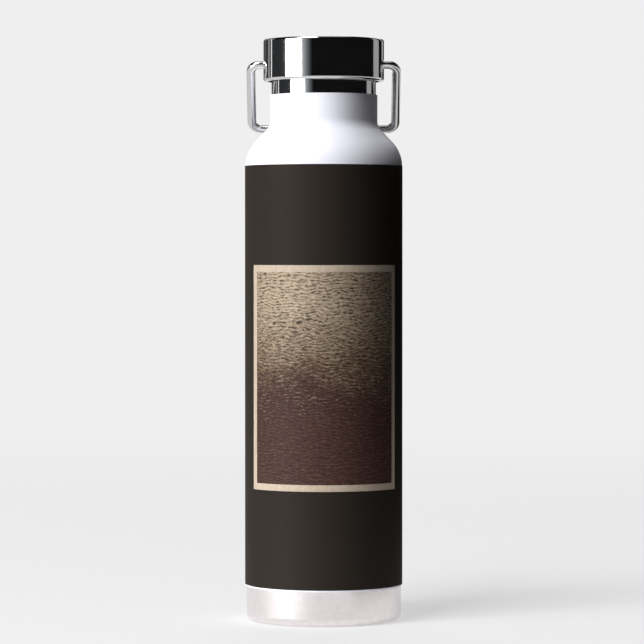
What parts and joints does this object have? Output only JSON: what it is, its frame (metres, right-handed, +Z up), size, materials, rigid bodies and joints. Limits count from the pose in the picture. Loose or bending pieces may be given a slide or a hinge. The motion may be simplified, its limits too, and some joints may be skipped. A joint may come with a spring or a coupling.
{
  "type": "vacuum bottle",
  "caption": "Tall double-wall steel bottle with a white shoulder, a dark printed wrap with a framed panel, a screw lid and a swinging wire bail.",
  "frame": {"origin": "on the floor under the centre of the base, on the bottle's axis", "axes": "+Z up along the bottle's axis, the printed panel faces -Y, the bail's pivot axis is along X and the bail hangs towards +Y"},
  "size_m": [0.073, 0.073, 0.269],
  "materials": {
    "white_coat": "semi-gloss powder coat",
    "polished_steel": "mirror polished stainless steel",
    "satin_steel": "fine brushed stainless steel",
    "bare_base_steel": "bright brushed stainless steel",
    "raw_steel": "as-drawn stainless steel",
    "copper_plate": "electroplated copper",
    "dark_print": "satin printed film",
    "pale_print": "satin printed film",
    "panel_print": "satin printed film, mottled bronze over maroon",
    "core_plastic": "moulded polypropylene",
    "bush_plastic": "natural nylon",
    "seal_rubber": "translucent white silicone",
    "foam": "rigid foam",
    "getter_metal": "sintered tablet",
    "bead": "fused sealing glass"
  },
  "bodies": {
    "bottle": {"outer_shell": "white_coat", "base_cup": "bare_base_steel", "bottom_cover": "satin_steel", "seal_bead": "bead", "getter": "getter_metal", "inner_vessel": "raw_steel", "inner_bottom": "raw_steel", "copper_layer": "copper_plate", "mouth_ring": "polished_steel", "wrap_film": "dark_print", "panel_border": "pale_print", "panel_field": "panel_print"},
    "seal": {"lid_gasket": "seal_rubber"},
    "lid": {"cap_shell": "polished_steel", "lid_core": "core_plastic", "core_cover": "core_plastic", "insulation_puck": "foam", "pivot_bush_left": "bush_plastic", "pivot_bush_right": "bush_plastic"},
    "bail": {"bail": "polished_steel"}
  },
  "joints": [
    {"name": "lid_lift", "type": "slide", "parent": "bottle", "child": "seal", "axis": [0, 0, 1], "range_m": [0, 0.03]},
    {"name": "lid_turn", "type": "hinge", "parent": "seal", "child": "lid", "pos_m": [0, 0, 0.2523], "axis": [0, 0, 1], "range_deg": [0, 2160]},
    {"name": "bail_swing", "type": "hinge", "parent": "lid", "child": "bail", "pos_m": [0, 0, 0.2573], "axis": [1, 0, 0], "range_deg": [0, 270.8]}
  ],
  "couplings": [
    {"joint": "lid_lift", "follows": "lid_turn", "m_per_rad": 0.00079577}
  ]
}
